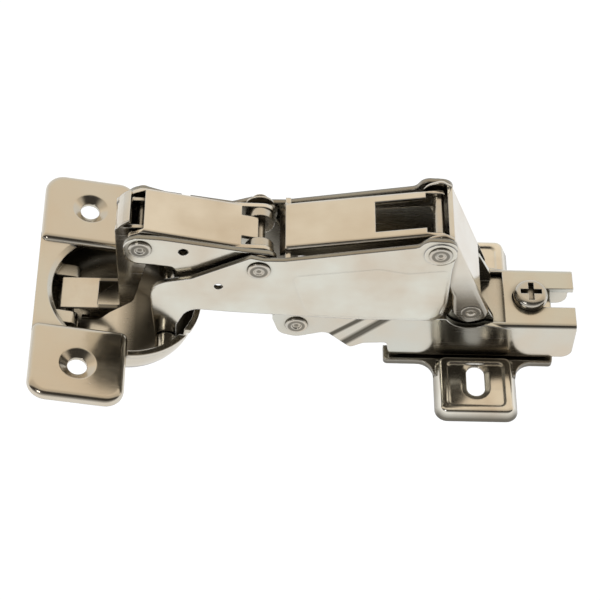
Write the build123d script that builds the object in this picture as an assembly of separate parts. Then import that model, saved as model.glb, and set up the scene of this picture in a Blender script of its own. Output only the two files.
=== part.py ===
from build123d import *
import math
import os

os.makedirs("parts", exist_ok=True)

# Wide-angle concealed cabinet hinge, half open, in millimetres.
# X runs from the cup (minus) to the arm's tail (plus), Y along the pivot pins,
# Z away from the cabinet side. The origin is the middle of the two plate screws.

# Pivot centres as (x, z) in the half-open pose
ARM_PIVOT = (-42.2, 12.0)
CROSS_PIVOT = (-51.2, 35.1)
CUP_LINK_TOP = (-77.5, 39.5)
REAR_TOP = (-11.4, 42.2)
REAR_FOOT = (
    REAR_TOP[0] - CROSS_PIVOT[0] + ARM_PIVOT[0],
    REAR_TOP[1] - CROSS_PIVOT[1] + ARM_PIVOT[1],
)
CUP_FRONT = (-72.3, 8.8)
CUP_REAR = (-95.0, 9.7)
CUP_TILT = 10.5

# Fits
RUN_CLEAR = 0.05
AXIAL_GAP = 0.15
SLIDE_CLEAR = 0.08
DEPTH_ADJUST = 1.5

# Mounting plate
PLATE_HOLE_SPACING = 32.0
PLATE_SLOT_WIDTH = 4.2
PLATE_SLOT_LENGTH = 8.2
PLATE_SINK_WIDTH = 6.8
PLATE_SINK_DEPTH = 0.5
WING_TIP_Y = 25.8
WING_HALF_X = 9.7
WING_TOP_HALF_X = 8.3
WING_HEIGHT = 3.2
WING_SHEET = 1.3
WING_CORNER = 3.0
WING_DISH = 0.4
WING_DISH_RIM = 1.5
WING_ROOT_Y = 8.95
BASE_FRONT_X = -21.4
BASE_REAR_X = 18.6
BASE_HALF_Y = 9.8
BASE_SHEET = 1.5
WING_FLARE_R = 3.9
RIDGE_FRONT_X = -18.0
RIDGE_HALF_Y = 6.9
RIDGE_SHEET = 1.3

# Arm
ARM_HALF_Y = 8.6
ARM_SHEET = 1.3
ARM_JOGGLE = 0.9
ARM_NOSE_HALF_Y = ARM_HALF_Y - ARM_JOGGLE
ARM_NOSE_SHEET = 1.0
ARM_RAMP_LOW = (-39.4, -33.3, 4.0)
ARM_RAMP_HIGH = (-26.0, -21.2, 16.4)
ARM_TAIL_X = 22.8
ARM_BOTTOM_Z = 2.4
ARM_TAIL_TOP_Z = 14.0
ARM_FRONT_TOP_Z = 16.4
ARM_WEB_FRONT_X = -26.0
ARM_WEB_REAR_X = -9.0
ARM_TAIL_WEB_X = 6.2
ARM_SADDLE_R = 6.0
ARM_SLOT_WIDTH = 5.4
ARM_EDGE_R = 1.25

# Fixing screw
SCREW_X = 12.4
SCREW_HEAD_R = 4.0
SCREW_HEAD_H = 2.3
SCREW_DOME_R = 1.4
SCREW_SHANK_R = 2.4
SCREW_END_Z = 4.0
CROSS_WIDTH = 1.3
CROSS_LENGTH = 5.0
CROSS_DEPTH = 1.5

# Bracket that carries the rear link's foot
BRACKET_HALF_Y = 6.9
BRACKET_SHEET = 1.2
BRACKET_EYE_R = 3.3
BRACKET_FRONT_X = -12.0
BRACKET_REAR_X = 8.5
RIDGE_TOP_Z = ARM_TAIL_TOP_Z - ARM_SHEET - BRACKET_SHEET - SLIDE_CLEAR

# Crank lever
CRANK_HALF_Y = 6.5
CRANK_SHEET = 1.1
CRANK_PLATE_IN_Y = 7.0
CRANK_PLATE_SHEET = 1.2
CRANK_WEB_LEFT = (-76.7, 43.4)
CRANK_WEB_RIGHT = (-55.2, 38.6)
CRANK_WEB_SHEET = 0.95
CRANK_TONGUE_X = -51.4
CRANK_TONGUE_HALF_Y = 3.0
CRANK_WASHER_R = 3.4
CRANK_WASHER_T = 0.5
COLLAR_R = 3.3
COLLAR_LENGTH = 2.2
CRANK_EYELET = (-68.0, 38.6)
CRANK_EYELET_R = 1.1
CRANK_EDGE_R = 1.05

# Side lever
SIDE_EYELET = (-60.2, 28.8)
SIDE_EYELET_R = 1.0
SIDE_EYE_R = 2.3
SIDE_IN_Y = 8.9
SIDE_SHEET = 1.1
COVER_HALF_Y = 6.6
COVER_SHEET = 1.0
COVER_RISE = 2.8
COVER_LEFT_X = -45.4
COVER_CUT_X = -25.6
COVER_RIGHT_X = -14.4
COVER_CUT_HALF_Y = 4.3
COVER_WALL_H = 5.0
COVER_FRONT_H = 2.6
COVER_TAB_X = 1.2
COVER_LIP_X = -46.7
COVER_LIP_Z = 36.2
COVER_EDGE_R = 0.95
PANEL_RISE = 0.2
PANEL_TAPER = 55.0
EAR_PAD_R = 3.6
EAR_PAD_RISE = 0.3
FAR_TOP_DROP = 2.6
CRANK_FAR_DROP = 2.8

# Rear link
REAR_HALF_Y = 8.5
REAR_SHEET = 1.2
REAR_WEB_OFFSET = 3.7
REAR_EAR_R = 3.5
REAR_FOOT_R = 4.3
REAR_EDGE_R = 1.15
FOOT_HEAD_R = 2.3
FOOT_HEAD_H = 0.2

# Cup link
LINK_HALF_Y = 4.4
LINK_SHEET = 1.0
LINK_EAR_R = 2.7
LINK_ROLL_R = 5.7
LINK_ROLL_END = 115.0
LINK_LUG_LEFT_X = -97.0
LINK_LUG_RIGHT_X = -88.4
LINK_LUG_TOP_Z = 12.3
SLIP_RIGHT = 3.8
SLIP_DOWN = 0.4
SLIP_UP = 1.0
LINK_PRONG_X = -92.3
LINK_PRONG_T = 0.8

# Cup, stated square to the door and then tilted about its front pin
CUP_SCREW_SPACING = 45.0
CUP_SCREW_X = -92.4
CUP_OFFSET = 9.5
BOWL_R = 17.5
BOWL_SHEET = 0.7
BOWL_DEPTH = 10.0
BOWL_BOTTOM_R = 7.5
DOOR_FACE_Z = 10.1
RIM_TOP_Z = 11.2
RIM_LIP_R = 18.2
STRIP_TOP_Z = 10.9
MOUTH_FLARE = 1.2
FLANGE_TOP_Z = 12.05
FLANGE_SHEET = 1.0
FLANGE_HALF_Y = 32.0
FLANGE_HALF_X = 11.0
FLANGE_CORNER = 4.5
FLANGE_INNER_CORNER = 1.8
WING_IN_Y = 11.9
FLANGE_EDGE_R = 1.6
CUP_HOLE_R = 2.25
CUP_SINK_R = 4.2
CUP_SINK_DEPTH = 1.2

# Pins
PIN_R = 1.25
HEAD_R = 2.6
HEAD_H = 0.6
FAR_HEAD_R = 1.9
FAR_HEAD_H = 0.4
CUP_PIN_R = 1.25
CUP_REAR_PIN_R = 1.0
BOSS_R = 2.5
REAR_BOSS_R = 2.1
REAR_BOSS_OUT_Y = 8.4
RELIEF_GAP = 0.1
RELIEF_LOW_Z = 8.2


def rounded(points):
    """Flat face in x and z through corners given as (x, z, corner radius)."""
    edges = []
    ends = []
    count = len(points)
    for i in range(count):
        corner = Vector(points[i][0], points[i][1])
        radius = points[i][2]
        before = (Vector(*points[i - 1][:2]) - corner).normalized()
        after = (Vector(*points[(i + 1) % count][:2]) - corner).normalized()
        if radius <= 0:
            ends.append((corner, corner))
            continue
        half = math.radians(before.get_angle(after)) / 2
        cut = radius / math.tan(half)
        middle = (before + after).normalized()
        centre = corner + middle * (radius / math.sin(half))
        start = corner + before * cut
        end = corner + after * cut
        edges.append(ThreePointArc(start, centre - middle * radius, end))
        ends.append((start, end))
    for i in range(count):
        a = ends[i][1]
        b = ends[(i + 1) % count][0]
        if (a - b).length > 1e-6:
            edges.append(Line(a, b))
    return make_face(edges)


def disc(centre, radius):
    """Flat round face in x and z."""
    return Pos(centre[0], centre[1]) * Circle(radius)


def slab(face, low_y, high_y):
    """Face drawn in x and z, made solid from low_y to high_y."""
    return extrude(Plane.XZ.offset(-high_y) * face, high_y - low_y)


def both(face, inner, outer):
    """The same wall on the near and the far side."""
    return slab(face, inner, outer) + slab(face, -outer, -inner)


def rod(centre, radius, low_y, high_y):
    """Plain round bar along Y."""
    return slab(disc(centre, radius), low_y, high_y)


def rivet_end(radius, grip, head_r, head_h):
    """Half outline of a flat domed head with a small dimple, as (radius, y)."""
    top = grip + head_h
    edge = 0.4 * head_h
    pit_r = 0.42 * head_r
    pit = 0.5 * head_h
    return [
        (radius, grip),
        (head_r, grip),
        (head_r, top - edge),
        (head_r - edge, top),
        (pit_r, top),
        (pit_r - 0.2, top - pit),
        (0, top - pit),
    ]


def rivet(centre, radius, near_grip, far_grip, head_r, far_head_r, head_h):
    """Pin with its full head on the near side and a smaller one on the far side."""
    far = rivet_end(radius, far_grip, far_head_r, head_h)
    near = rivet_end(radius, near_grip, head_r, head_h)
    lower = [(r, -y) for r, y in reversed(near)]
    outline = make_face(Polyline(*(lower + far), close=True))
    return Pos(centre[0], 0, centre[1]) * revolve(outline, Axis.Y)


def along(a, b, distance, offset):
    """Point at a distance from a towards b, moved sideways to the left."""
    ux = (b[0] - a[0]) / math.dist(a, b)
    uz = (b[1] - a[1]) / math.dist(a, b)
    return (a[0] + ux * distance - uz * offset, a[1] + uz * distance + ux * offset)


def edges_at(shape, y, low, high):
    """Straight edges lying along the line from low to high at one y."""
    found = []
    for edge in shape.edges():
        c = edge @ 0.5
        if abs(abs(c.Y) - y) > 1e-3 or edge.geom_type != GeomType.LINE:
            continue
        span = math.dist(low, high)
        t = ((c.X - low[0]) * (high[0] - low[0]) + (c.Z - low[1]) * (high[1] - low[1])) / span
        off = ((c.X - low[0]) * (high[1] - low[1]) - (c.Z - low[1]) * (high[0] - low[0])) / span
        if -0.1 < t < span + 0.1 and abs(off) < 1e-2 and abs(edge.tangent_at(0.5).Y) < 1e-3:
            found.append(edge)
    return found


# Mounting plate
def plate_wing(side):
    length = WING_TIP_Y - WING_ROOT_Y
    mid = side * (WING_TIP_Y + WING_ROOT_Y) / 2
    inset = WING_HALF_X - WING_TOP_HALF_X
    low = Pos(0, mid, 0) * RectangleRounded(2 * WING_HALF_X, length, WING_CORNER)
    high = Pos(0, mid, WING_HEIGHT) * RectangleRounded(
        2 * WING_TOP_HALF_X, length - inset, WING_CORNER - inset
    )
    shell = loft([low, high])
    top_edges = shell.faces().sort_by(Axis.Z)[-1].edges()
    shell = fillet(top_edges, 0.9)
    core_low = Pos(0, mid, -0.1) * RectangleRounded(
        2 * (WING_HALF_X - WING_SHEET), length - 2 * WING_SHEET, WING_CORNER - WING_SHEET
    )
    core_high = Pos(0, mid, WING_HEIGHT - WING_SHEET) * RectangleRounded(
        2 * (WING_TOP_HALF_X - WING_SHEET), length - inset - 2 * WING_SHEET, 0.4
    )
    shell -= loft([core_low, core_high])
    slot = Pos(0, side * PLATE_HOLE_SPACING / 2, 0) * Rot(0, 0, 90) * SlotOverall(
        PLATE_SLOT_LENGTH, PLATE_SLOT_WIDTH
    )
    shell -= extrude(slot, WING_HEIGHT + 1)
    dish_x = WING_TOP_HALF_X - WING_DISH_RIM
    dish_y = length / 2 - inset / 2 - WING_DISH_RIM
    dish_floor = WING_HEIGHT - WING_DISH
    dish_low = Pos(0, mid, dish_floor) * RectangleRounded(2 * dish_x - 1, 2 * dish_y - 1, 1.0)
    dish_top = Pos(0, mid, WING_HEIGHT) * RectangleRounded(2 * dish_x, 2 * dish_y, 1.5)
    shell -= loft([dish_low, dish_top])
    rim = PLATE_SLOT_LENGTH + PLATE_SINK_WIDTH - PLATE_SLOT_WIDTH
    place = Pos(0, side * PLATE_HOLE_SPACING / 2, dish_floor) * Rot(0, 0, 90)
    wide = place * SlotOverall(rim, PLATE_SINK_WIDTH)
    narrow = place * Pos(0, 0, -PLATE_SINK_DEPTH) * SlotOverall(PLATE_SLOT_LENGTH, PLATE_SLOT_WIDTH)
    return shell - loft([narrow, wide])


base_length = BASE_REAR_X - BASE_FRONT_X
base_mid = (BASE_REAR_X + BASE_FRONT_X) / 2
base = Pos(base_mid, 0, 0) * extrude(
    RectangleRounded(base_length, 2 * BASE_HALF_Y, 1.0), BASE_SHEET
)
ridge_face = Pos(0, 0) * make_face(
    Polyline(
        (-RIDGE_HALF_Y, 0),
        (-RIDGE_HALF_Y, RIDGE_TOP_Z),
        (RIDGE_HALF_Y, RIDGE_TOP_Z),
        (RIDGE_HALF_Y, 0),
        close=True,
    )
)
ridge = extrude(Plane.YZ.offset(RIDGE_FRONT_X) * ridge_face, BASE_REAR_X - RIDGE_FRONT_X - 1)
ridge = fillet(ridge.edges().filter_by(Axis.X).sort_by(Axis.Z)[-2:], 1.2)
plate = base + ridge + plate_wing(1) + plate_wing(-1)
flare_x = WING_HALF_X + WING_FLARE_R
flare_y = BASE_HALF_Y + WING_FLARE_R
for x_side in (1, -1):
    for y_side in (1, -1):
        corner = Pos(x_side * (flare_x - 2.4), y_side * (flare_y - 2.4)) * Rectangle(4.8, 4.8)
        corner -= Pos(x_side * flare_x, y_side * flare_y) * Circle(WING_FLARE_R)
        plate += extrude(corner, BASE_SHEET)
hollow = Pos(base_mid, 0, (RIDGE_TOP_Z - RIDGE_SHEET) / 2) * Box(
    base_length + 2, 2 * (RIDGE_HALF_Y - RIDGE_SHEET), RIDGE_TOP_Z - RIDGE_SHEET
)
plate -= hollow
screw_hole_r = SCREW_SHANK_R + RUN_CLEAR
plate -= Pos(SCREW_X, 0, RIDGE_TOP_Z) * Cylinder(screw_hole_r, 8)
mounting_plate = plate

# Arm
rear_wall = rounded([
    (-31.2, 6.4, 0.6),
    (-29.4, 4.6, 1.0),
    (-26.4, 6.4, 1.0),
    (-21.0, 6.8, 0.8),
    (-20.2, ARM_BOTTOM_Z, 0.8),
    (ARM_TAIL_X, ARM_BOTTOM_Z, 2.6),
    (ARM_TAIL_X, ARM_TAIL_TOP_Z, 0),
    (3.0, ARM_TAIL_TOP_Z, 0),
    (-8.4, ARM_FRONT_TOP_Z, 0),
    (-21.9, ARM_FRONT_TOP_Z, 0),
])
rear_wall -= disc(REAR_FOOT, ARM_SADDLE_R)
nose_wall = rounded([
    (-48.4, 16.0, 2.0),
    (-42.0, 16.9, 2.0),
    (-20.0, ARM_FRONT_TOP_Z, 0),
    (-20.0, 8.6, 0),
    (-26.5, 7.6, 1.0),
    (-29.2, 5.0, 1.0),
    (-35.6, 9.4, 3.0),
    (-39.0, 8.2, 3.0),
    (-42.2, 7.2, 3.6),
    (-46.2, 8.6, 3.0),
])
arm = both(rear_wall, ARM_HALF_Y - ARM_SHEET, ARM_HALF_Y)
arm += both(nose_wall, ARM_NOSE_HALF_Y - ARM_NOSE_SHEET, ARM_NOSE_HALF_Y)


def ramp_section(ends):
    """Plan of the slanted step from the nose out to the rear wall at one height."""
    front, back, height = ends
    inner = ARM_NOSE_HALF_Y - 0.2
    return Pos(0, 0, height) * make_face(Polyline(
        (front, inner),
        (front, ARM_NOSE_HALF_Y),
        (back, ARM_HALF_Y),
        (back + 0.3, ARM_HALF_Y),
        (back + 0.3, inner),
        close=True,
    ))


ramp = loft([ramp_section(ARM_RAMP_LOW), ramp_section(ARM_RAMP_HIGH)])
ramp &= slab(nose_wall, 0, ARM_HALF_Y + 1)
arm += ramp
arm += mirror(ramp, Plane.XZ)
web_mid = (ARM_WEB_FRONT_X + ARM_WEB_REAR_X) / 2
web_length = ARM_WEB_REAR_X - ARM_WEB_FRONT_X
arm += Pos(web_mid, 0, ARM_FRONT_TOP_Z - ARM_SHEET / 2) * Box(
    web_length, 2 * ARM_NOSE_HALF_Y, ARM_SHEET
)
tail_mid = (ARM_TAIL_WEB_X + ARM_TAIL_X) / 2
arm += Pos(tail_mid, 0, ARM_TAIL_TOP_Z - ARM_SHEET / 2) * Box(
    ARM_TAIL_X - ARM_TAIL_WEB_X, 2 * ARM_HALF_Y, ARM_SHEET
)
top_line = edges_at(arm, ARM_HALF_Y, (3.0, ARM_TAIL_TOP_Z), (ARM_TAIL_X, ARM_TAIL_TOP_Z))
arm = fillet(top_line, ARM_EDGE_R)
slot_x = SCREW_X - DEPTH_ADJUST
slot_length = ARM_TAIL_X - slot_x + 2
arm -= Pos(slot_x + slot_length / 2, 0, ARM_TAIL_TOP_Z) * Box(slot_length, ARM_SLOT_WIDTH, 4)
arm -= Pos(slot_x, 0, ARM_TAIL_TOP_Z) * Cylinder(ARM_SLOT_WIDTH / 2, 4)
arm -= rod(ARM_PIVOT, PIN_R, -20, 20)
hinge_arm = arm

# Bracket under the arm's top, with two ears for the rear link's foot
bracket_top = ARM_TAIL_TOP_Z - ARM_SHEET
ear = rounded([
    (-8.0, bracket_top - BRACKET_SHEET, 0),
    (-8.0, bracket_top + 2.0, 1.0),
    (REAR_FOOT[0] - 2.2, REAR_FOOT[1] + BRACKET_EYE_R, 2.0),
    (REAR_FOOT[0] + 2.2, REAR_FOOT[1] + BRACKET_EYE_R, 2.0),
    (3.4, bracket_top + 2.0, 1.0),
    (3.4, bracket_top - BRACKET_SHEET, 0),
])
bracket = both(ear, BRACKET_HALF_Y - BRACKET_SHEET, BRACKET_HALF_Y)
bracket += Pos((BRACKET_FRONT_X + BRACKET_REAR_X) / 2, 0, bracket_top - BRACKET_SHEET / 2) * Box(
    BRACKET_REAR_X - BRACKET_FRONT_X, 2 * BRACKET_HALF_Y, BRACKET_SHEET
)
bracket -= rod(REAR_FOOT, PIN_R + RUN_CLEAR, -20, 20)
pivot_bracket = bracket

arm_pivot_pin = rivet(
    ARM_PIVOT, PIN_R, ARM_NOSE_HALF_Y, ARM_NOSE_HALF_Y, HEAD_R, HEAD_R, HEAD_H
)

# Fixing screw with a cross recess
head_low = ARM_TAIL_TOP_Z + AXIAL_GAP
screw = Pos(SCREW_X, 0, head_low + SCREW_HEAD_H / 2) * Cylinder(SCREW_HEAD_R, SCREW_HEAD_H)
screw = fillet(screw.edges().group_by(Axis.Z)[-1], SCREW_DOME_R)
shank = head_low - SCREW_END_Z
screw += Pos(SCREW_X, 0, SCREW_END_Z + shank / 2) * Cylinder(SCREW_SHANK_R, shank)
cross_z = head_low + SCREW_HEAD_H - CROSS_DEPTH / 2
screw -= Pos(SCREW_X, 0, cross_z) * Box(CROSS_LENGTH, CROSS_WIDTH, CROSS_DEPTH)
screw -= Pos(SCREW_X, 0, cross_z) * Box(CROSS_WIDTH, CROSS_LENGTH, CROSS_DEPTH)
fixing_screw = screw

# Crank lever: inner channel, two outer plates and its pins
crank_wall = rounded([
    (CRANK_WEB_LEFT[0], CRANK_WEB_LEFT[1], 0),
    (CRANK_WEB_RIGHT[0], CRANK_WEB_RIGHT[1], 0),
    (CROSS_PIVOT[0] + 3.1, CROSS_PIVOT[1] + 3.3, 3.0),
    (CROSS_PIVOT[0] + 3.8, CROSS_PIVOT[1] - 2.0, 2.0),
    (ARM_PIVOT[0] + 3.2, ARM_PIVOT[1] + 1.6, 3.0),
    (ARM_PIVOT[0] + 2.6, ARM_PIVOT[1] - 3.8, 3.0),
    (ARM_PIVOT[0] - 3.9, ARM_PIVOT[1] - 2.0, 3.0),
    (CROSS_PIVOT[0] - 4.0, CROSS_PIVOT[1] - 4.6, 4.0),
    (CUP_LINK_TOP[0] + 3.2, CUP_LINK_TOP[1] - 3.6, 3.0),
    (CUP_LINK_TOP[0] - 3.2, CUP_LINK_TOP[1] - 2.8, 2.6),
    (CUP_LINK_TOP[0] - 2.6, CUP_LINK_TOP[1] + 2.4, 1.6),
])
crank_in = CRANK_HALF_Y - CRANK_SHEET
channel = both(crank_wall, crank_in, CRANK_HALF_Y)
web_span = math.dist(CRANK_WEB_LEFT, CRANK_WEB_RIGHT)
tongue_span = web_span + CRANK_WEB_RIGHT[0] * -1 + CRANK_TONGUE_X
corners = [
    along(CRANK_WEB_LEFT, CRANK_WEB_RIGHT, 0, 0),
    along(CRANK_WEB_LEFT, CRANK_WEB_RIGHT, web_span, 0),
    along(CRANK_WEB_LEFT, CRANK_WEB_RIGHT, web_span, -CRANK_WEB_SHEET),
    along(CRANK_WEB_LEFT, CRANK_WEB_RIGHT, 0, -CRANK_WEB_SHEET),
]
channel += slab(make_face(Polyline(*corners, close=True)), -CRANK_HALF_Y, CRANK_HALF_Y)
channel = fillet(edges_at(channel, CRANK_HALF_Y, CRANK_WEB_LEFT, CRANK_WEB_RIGHT), CRANK_EDGE_R)
tongue = [
    along(CRANK_WEB_LEFT, CRANK_WEB_RIGHT, web_span - 0.5, 0),
    along(CRANK_WEB_LEFT, CRANK_WEB_RIGHT, tongue_span, 0),
    along(CRANK_WEB_LEFT, CRANK_WEB_RIGHT, tongue_span, -CRANK_WEB_SHEET),
    along(CRANK_WEB_LEFT, CRANK_WEB_RIGHT, web_span - 0.5, -CRANK_WEB_SHEET),
]
channel += slab(
    make_face(Polyline(*tongue, close=True)), -CRANK_TONGUE_HALF_Y, CRANK_TONGUE_HALF_Y
)
channel -= rod(CUP_LINK_TOP, PIN_R, -20, 20)
channel -= rod(CROSS_PIVOT, PIN_R, -20, 20)
channel -= rod(ARM_PIVOT, PIN_R + RUN_CLEAR, -20, 20)
crank_channel = channel

def crank_side(drop):
    face = rounded([
        (CUP_LINK_TOP[0] - 3.8, CUP_LINK_TOP[1] + 3.9, 3.6),
        (CUP_LINK_TOP[0] + 5.0, CUP_LINK_TOP[1] + 3.2 - drop, 3.0),
        (CROSS_PIVOT[0] - 3.6, CROSS_PIVOT[1] + 4.2 - drop, 2.0),
        (CROSS_PIVOT[0] + 4.2, CROSS_PIVOT[1] + 3.2 - drop / 2, 2.4),
        (CROSS_PIVOT[0] + 3.6, CROSS_PIVOT[1] - 4.2, 3.4),
        (-68.6, 29.4, 2.0),
        (-70.6, 33.2, 1.0),
        (-74.6, 33.9, 2.0),
        (CUP_LINK_TOP[0] - 3.6, CUP_LINK_TOP[1] - 5.0, 3.6),
    ])
    face -= disc(CUP_LINK_TOP, PIN_R)
    face -= disc(CROSS_PIVOT, PIN_R)
    return face - disc(CRANK_EYELET, CRANK_EYELET_R)


crank_out = CRANK_PLATE_IN_Y + CRANK_PLATE_SHEET
crank_plate_far = slab(crank_side(CRANK_FAR_DROP), CRANK_PLATE_IN_Y, crank_out)
crank_plate_near = slab(crank_side(0), -crank_out, -CRANK_PLATE_IN_Y)
washer_face = disc(CROSS_PIVOT, CRANK_WASHER_R) - disc(CROSS_PIVOT, PIN_R)
cross_washer_far = slab(washer_face, crank_out, crank_out + CRANK_WASHER_T)
cross_washer_near = slab(washer_face, -crank_out - CRANK_WASHER_T, -crank_out)
collar_face = disc(CROSS_PIVOT, COLLAR_R) - disc(CROSS_PIVOT, PIN_R)
cross_collar_far = slab(collar_face, crank_in - COLLAR_LENGTH, crank_in)
cross_collar_near = slab(collar_face, -crank_in, -crank_in + COLLAR_LENGTH)
cup_link_pin = rivet(
    CUP_LINK_TOP, PIN_R, crank_out, crank_out, HEAD_R, FAR_HEAD_R, HEAD_H
)
side_out = SIDE_IN_Y + SIDE_SHEET
cross_grip = side_out + AXIAL_GAP
cross_pin = rivet(CROSS_PIVOT, PIN_R, cross_grip, cross_grip, HEAD_R, FAR_HEAD_R, FAR_HEAD_H)

# Side lever: two big plates, a cover between them and the rear pin
def side_outline(drop):
    face = rounded([
        (-53.0, 39.2 - drop, 1.0),
        (-50.0, 38.3 - drop, 2.0),
        (-45.5, 38.4 - drop, 3.0),
        (-16.2, 44.3 - drop, 2.0),
        (REAR_TOP[0] - 3.2, REAR_TOP[1] + 4.4 - drop * 0.8, 2.6),
        (REAR_TOP[0] + 3.8, REAR_TOP[1] + 4.0 - drop * 0.8, 2.6),
        (REAR_TOP[0] + 3.0, 36.0, 6.0),
        (-8.4, 24.0, 8.0),
        (-9.4, 17.6, 3.2),
        (-30.0, 17.6, 10.0),
        (-57.5, 19.4, 10.0),
        (-67.2, 20.4, 4.0),
        (CUP_FRONT[0] + 2.4, 14.0, 3.0),
        (CUP_FRONT[0] + SIDE_EYE_R, CUP_FRONT[1] - SIDE_EYE_R, SIDE_EYE_R - 0.1),
        (CUP_FRONT[0] - SIDE_EYE_R, CUP_FRONT[1] - SIDE_EYE_R, SIDE_EYE_R - 0.1),
        (-75.4, 20.0, 10.0),
        (-75.6, 29.0, 5.0),
        (-66.2, 31.4, 4.0),
    ])
    face -= disc(CROSS_PIVOT, PIN_R + RUN_CLEAR)
    face -= disc(CUP_FRONT, CUP_PIN_R + RUN_CLEAR)
    face -= disc(REAR_TOP, PIN_R)
    return face - disc(SIDE_EYELET, SIDE_EYELET_R)


panel = rounded([
    (-44.0, 33.2, 2.0),
    (-24.6, 36.6, 4.0),
    (-18.0, 35.2, 4.0),
    (-9.0, 36.6, 1.0),
    (-8.9, 24.0, 8.0),
    (-9.9, 18.1, 3.0),
    (-40.0, 18.8, 4.0),
])
side_plate_far = slab(side_outline(FAR_TOP_DROP), SIDE_IN_Y, side_out)
near_panel = extrude(Plane.XZ.offset(side_out) * panel, PANEL_RISE, taper=PANEL_TAPER)
side_plate_far += mirror(near_panel, Plane.XZ)
side_plate_near = slab(side_outline(0), -side_out, -SIDE_IN_Y)
side_plate_near += near_panel
ear_pad = disc(REAR_TOP, EAR_PAD_R) - disc(REAR_TOP, PIN_R)
side_plate_near += slab(ear_pad, -side_out - EAR_PAD_RISE, -side_out)


def cover_z(x):
    slope = (REAR_TOP[1] - CROSS_PIVOT[1]) / (REAR_TOP[0] - CROSS_PIVOT[0])
    return CROSS_PIVOT[1] + slope * (x - CROSS_PIVOT[0]) + COVER_RISE


cover_low = (COVER_LEFT_X, cover_z(COVER_LEFT_X))
cover_high = (COVER_RIGHT_X, cover_z(COVER_RIGHT_X))
cover_wall = rounded([
    (cover_low[0], cover_low[1], 0),
    (cover_high[0], cover_high[1], 0),
    (REAR_TOP[0] + 2.1, REAR_TOP[1] + 2.2, 2.0),
    (REAR_TOP[0] + 2.1, REAR_TOP[1] - 2.2, 2.0),
    (COVER_RIGHT_X - 2.0, cover_high[1] - COVER_WALL_H, 1.0),
    (cover_low[0] + 8.0, cover_low[1] - COVER_FRONT_H, 1.0),
    (cover_low[0], cover_low[1] - COVER_FRONT_H, 0.6),
])
cover = both(cover_wall, COVER_HALF_Y - COVER_SHEET, COVER_HALF_Y)
cover_face = make_face(Polyline(
    cover_low,
    cover_high,
    (cover_high[0], cover_high[1] - COVER_SHEET),
    (cover_low[0], cover_low[1] - COVER_SHEET),
    close=True,
))
cover += slab(cover_face, -COVER_HALF_Y, COVER_HALF_Y)
cover = fillet(edges_at(cover, COVER_HALF_Y, cover_low, cover_high), COVER_EDGE_R)
cut_mid = (COVER_CUT_X + COVER_RIGHT_X + 10) / 2
cover -= Pos(cut_mid, 0, 44) * Box(
    COVER_RIGHT_X + 10 - COVER_CUT_X, 2 * COVER_CUT_HALF_Y, 20
)
lip = make_face(Polyline(
    cover_low,
    (cover_low[0] + 0.9, cover_low[1] - COVER_SHEET + 0.2),
    (COVER_LIP_X + 1.0, COVER_LIP_Z),
    (COVER_LIP_X, COVER_LIP_Z),
    close=True,
))
cover += slab(lip, -COVER_HALF_Y, COVER_HALF_Y)
tab = rounded([
    (COVER_LEFT_X, cover_low[1] - COVER_FRONT_H, 0),
    (COVER_LEFT_X + COVER_TAB_X, cover_low[1] - COVER_FRONT_H, 0),
    (COVER_LEFT_X + COVER_TAB_X, cover_low[1] - 1.2, 0),
    (COVER_LEFT_X, cover_low[1] - 1.2, 0),
])
cover += both(tab, COVER_HALF_Y - 0.5, SIDE_IN_Y)
cover -= rod(REAR_TOP, PIN_R, -20, 20)
side_cover = cover
rear_pin = rivet(
    REAR_TOP, PIN_R, side_out + EAR_PAD_RISE, side_out, HEAD_R, FAR_HEAD_R, FAR_HEAD_H
)

# Rear link
span = math.dist(REAR_FOOT, REAR_TOP)
rear_wall_face = rounded([
    (*along(REAR_FOOT, REAR_TOP, -REAR_FOOT_R, -REAR_WEB_OFFSET), 3.0),
    (*along(REAR_FOOT, REAR_TOP, 4.6, -REAR_WEB_OFFSET), 0),
    (*along(REAR_FOOT, REAR_TOP, span + 1.2, -REAR_WEB_OFFSET), 0),
    (*along(REAR_FOOT, REAR_TOP, span + REAR_EAR_R, -2.2), 1.8),
    (*along(REAR_FOOT, REAR_TOP, span + REAR_EAR_R, REAR_EAR_R), 3.0),
    (*along(REAR_FOOT, REAR_TOP, span - 6.0, REAR_EAR_R - 0.6), 3.0),
    (*along(REAR_FOOT, REAR_TOP, 7.0, REAR_EAR_R - 1.0), 3.0),
    (*along(REAR_FOOT, REAR_TOP, 0.5, REAR_FOOT_R), 3.0),
    (*along(REAR_FOOT, REAR_TOP, -REAR_FOOT_R, REAR_FOOT_R - 1.0), 3.0),
])
link = both(rear_wall_face, REAR_HALF_Y - REAR_SHEET, REAR_HALF_Y)
web_low = along(REAR_FOOT, REAR_TOP, 4.6, -REAR_WEB_OFFSET)
web_high = along(REAR_FOOT, REAR_TOP, span + 1.2, -REAR_WEB_OFFSET)
rear_web = make_face(Polyline(
    web_low,
    web_high,
    along(REAR_FOOT, REAR_TOP, span + 1.2, -REAR_WEB_OFFSET + REAR_SHEET),
    along(REAR_FOOT, REAR_TOP, 4.6, -REAR_WEB_OFFSET + REAR_SHEET),
    close=True,
))
link += slab(rear_web, -REAR_HALF_Y, REAR_HALF_Y)
link = fillet(edges_at(link, REAR_HALF_Y, web_low, web_high), REAR_EDGE_R)
link -= rod(REAR_TOP, PIN_R + RUN_CLEAR, -20, 20)
link -= rod(REAR_FOOT, PIN_R, -20, 20)
rear_link = link
rear_foot_pin = rivet(
    REAR_FOOT, PIN_R, REAR_HALF_Y, REAR_HALF_Y, FOOT_HEAD_R, FOOT_HEAD_R, FOOT_HEAD_H
)

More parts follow.
